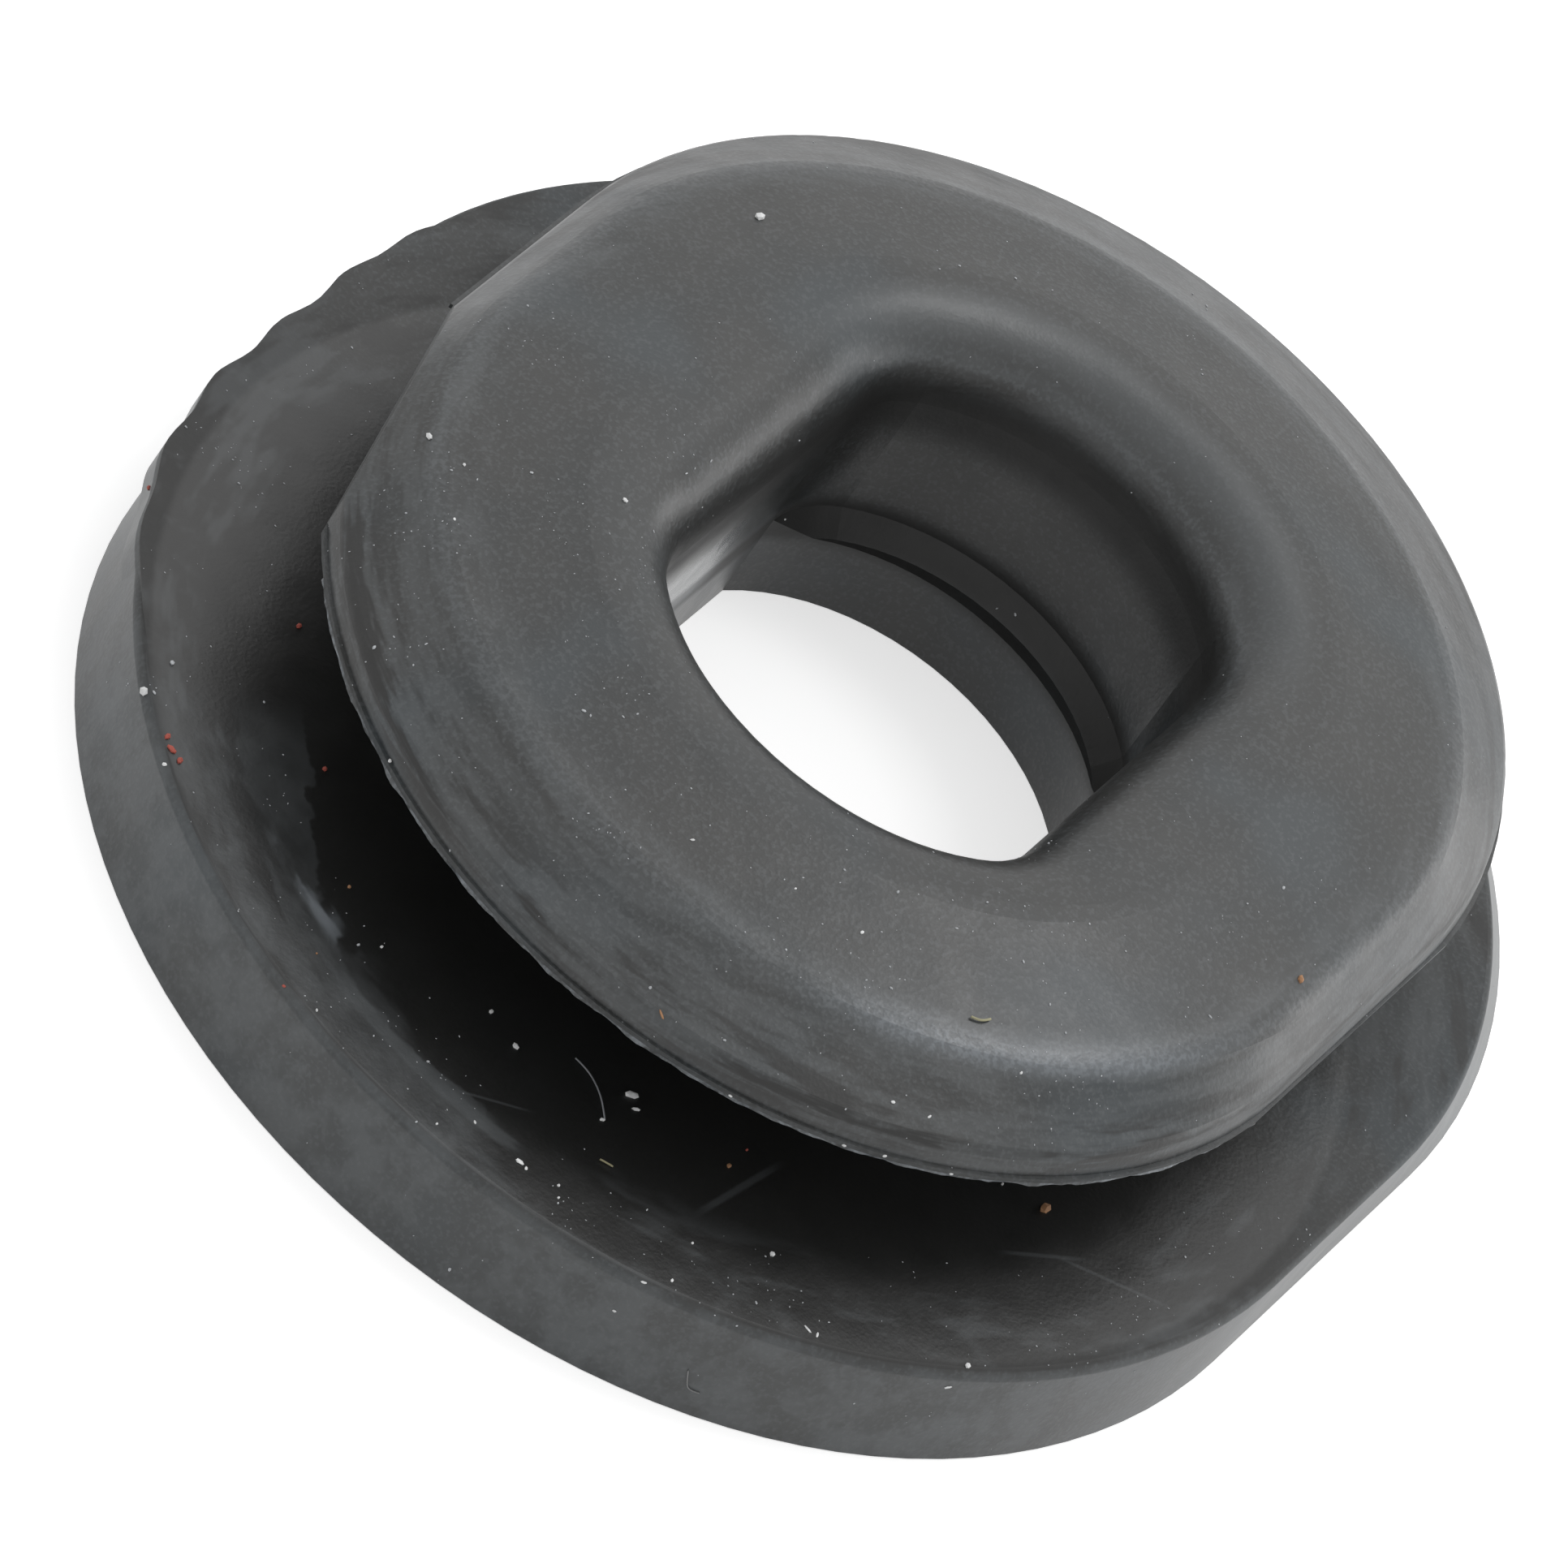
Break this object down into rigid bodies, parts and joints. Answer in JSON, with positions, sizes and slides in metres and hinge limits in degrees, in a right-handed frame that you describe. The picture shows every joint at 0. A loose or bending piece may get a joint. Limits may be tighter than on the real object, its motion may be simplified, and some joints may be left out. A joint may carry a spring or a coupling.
{
  "type": "rubber grommet",
  "caption": "Moulded rubber panel grommet with two rounded flanges, a panel groove between them and a flat-sided through opening.",
  "frame": {"origin": "centre of the bounding box at the underside of the large flange", "axes": "+Z along the bore, from the large flange towards the small one; X along the long side; the flats face -Y and +Y"},
  "size_m": [0.0298, 0.0232, 0.0061],
  "materials": {
    "rubber": "matt satin black rubber"
  },
  "bodies": {
    "root": {"grommet": "rubber"}
  },
  "joints": []
}
